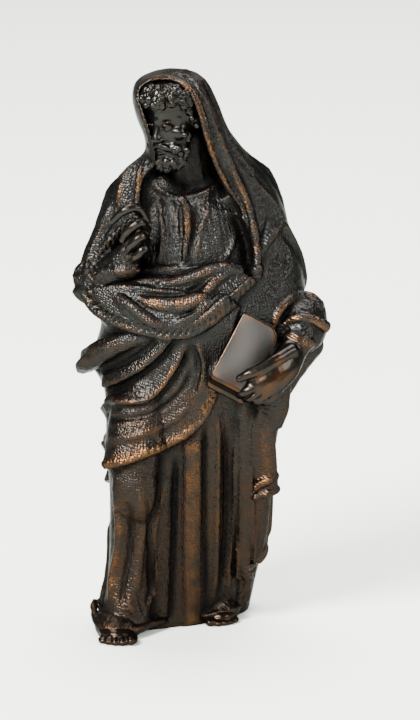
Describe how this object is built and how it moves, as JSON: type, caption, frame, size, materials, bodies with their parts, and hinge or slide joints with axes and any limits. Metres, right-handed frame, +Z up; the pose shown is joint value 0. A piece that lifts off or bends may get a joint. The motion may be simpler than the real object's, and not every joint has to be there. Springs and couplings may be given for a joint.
{
  "type": "statuette",
  "caption": "Cast bronze statuette of a standing hooded, bearded saint in heavy draped robes, one hand raised to the mantle, the other holding a closed book at the hip, with a dark worn patina.",
  "frame": {"origin": "a point of the flat underside, under the left edge of the robe's middle fold", "axes": "+Z up along the figure's height, +X to the viewer's right, +Y towards the figure's back"},
  "size_m": [0.0766, 0.0558, 0.1685],
  "materials": {
    "bronze": "cast bronze with a dark brown lacquer patina, rubbed to warm copper brown on the ridges"
  },
  "bodies": {
    "root": {"bronze_saint": "bronze"}
  },
  "joints": []
}
